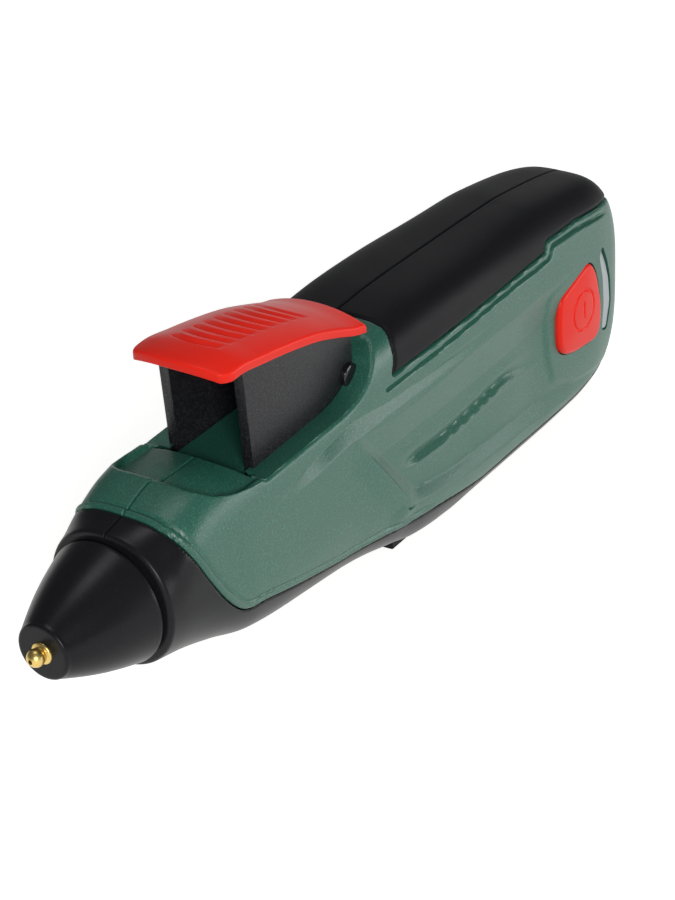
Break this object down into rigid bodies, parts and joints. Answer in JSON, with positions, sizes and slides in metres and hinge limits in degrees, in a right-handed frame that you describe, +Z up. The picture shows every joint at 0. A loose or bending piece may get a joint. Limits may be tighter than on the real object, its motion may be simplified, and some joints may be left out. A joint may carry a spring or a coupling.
{
  "type": "cordless glue gun",
  "caption": "Pen-shaped cordless hot-melt glue gun with a raised finger lever, cone nose with brass nozzle, soft grip and side power button.",
  "frame": {"origin": "middle of the bounding box's underside, on the surface that the tool lies on", "axes": "+X from the nozzle to the rear face along the glue axis, +Y to the right-hand half (the power button is on the -Y side), +Z up"},
  "size_m": [0.195, 0.0326, 0.0723],
  "materials": {
    "green_plastic": "satin moulded plastic with a fine grain",
    "black_plastic": "satin moulded plastic",
    "black_grip": "soft matte rubber",
    "red_plastic": "satin to semi-gloss plastic",
    "brass": "turned",
    "steel": "plain",
    "aluminium": "cast",
    "ceramic": "unglazed",
    "silicone": "matte silicone",
    "nylon": "natural",
    "grey_window": "frosted translucent",
    "board": "solder resist",
    "cell_wrap": "blue shrink film over the can",
    "led": "clear green",
    "lead_red": "insulation",
    "lead_black": "insulation"
  },
  "bodies": {
    "housing": {"battery_cell": "cell_wrap", "battery_cradle": "black_plastic", "battery_lead_negative": "lead_black", "battery_lead_positive": "lead_red", "battery_tab_front": "steel", "battery_tab_rear": "steel", "board_screw_1": "steel", "board_screw_2": "steel", "carriage_rail": "black_plastic", "carriage_spring": "steel", "charging_board": "board", "chassis_left": "black_plastic", "chassis_right": "black_plastic", "circuit_board": "board", "front_foot": "black_grip", "grip_left": "black_grip", "grip_right": "black_grip", "heat_shield": "green_plastic", "heat_sleeve": "ceramic", "heater_barrel": "aluminium", "heater_clip": "steel", "heater_element": "ceramic", "heater_lead_1": "lead_red", "heater_lead_2": "lead_black", "indicator_led_1": "led", "indicator_led_2": "led", "indicator_led_3": "led", "inlet_sleeve": "silicone", "lever_bracket": "black_plastic", "lever_pin": "black_plastic", "lever_spring": "steel", "light_guide": "grey_window", "nozzle": "brass", "nozzle_cone": "black_plastic", "rear_cover": "black_plastic", "shell_left": "green_plastic", "shell_right": "green_plastic", "shell_screw_1": "steel", "shell_screw_2": "steel", "shell_screw_3": "steel", "shell_screw_4": "steel", "shell_screw_5": "steel", "shell_screw_6": "steel", "stick_guide": "black_plastic", "switch_body": "black_plastic", "thermal_fuse": "steel", "usb_socket": "steel"},
    "lever": {"lever_cap": "red_plastic", "lever_arm": "black_plastic"},
    "carriage": {"feed_carriage": "nylon", "jaw_pin": "steel"},
    "jaw": {"feed_jaw": "steel"},
    "button": {"power_button": "red_plastic"}
  },
  "joints": [
    {"name": "lever_hinge", "type": "hinge", "parent": "housing", "child": "lever", "pos_m": [-0.009, 0, 0.0513], "axis": [0, -1, 0], "range_deg": [0, 22], "stiffness_Nm_per_rad": 0.3, "springref_deg": -20.05},
    {"name": "carriage_slide", "type": "slide", "parent": "housing", "child": "carriage", "axis": [-1, 0, 0], "range_m": [0, 0.00502]},
    {"name": "jaw_hinge", "type": "hinge", "parent": "carriage", "child": "jaw", "pos_m": [-0.0165, 0, 0.0387], "axis": [0, -1, 0], "range_deg": [0, 4.02]},
    {"name": "power_button_press", "type": "slide", "parent": "housing", "child": "button", "axis": [0, 1, 0], "range_m": [0, 0.0008], "stiffness_N_per_m": 400, "springref_m": -0.0008}
  ],
  "couplings": [
    {"joint": "carriage_slide", "follows": "lever_hinge", "m_per_rad": 0.013022},
    {"joint": "jaw_hinge", "follows": "lever_hinge", "ratio": 0.1818}
  ]
}
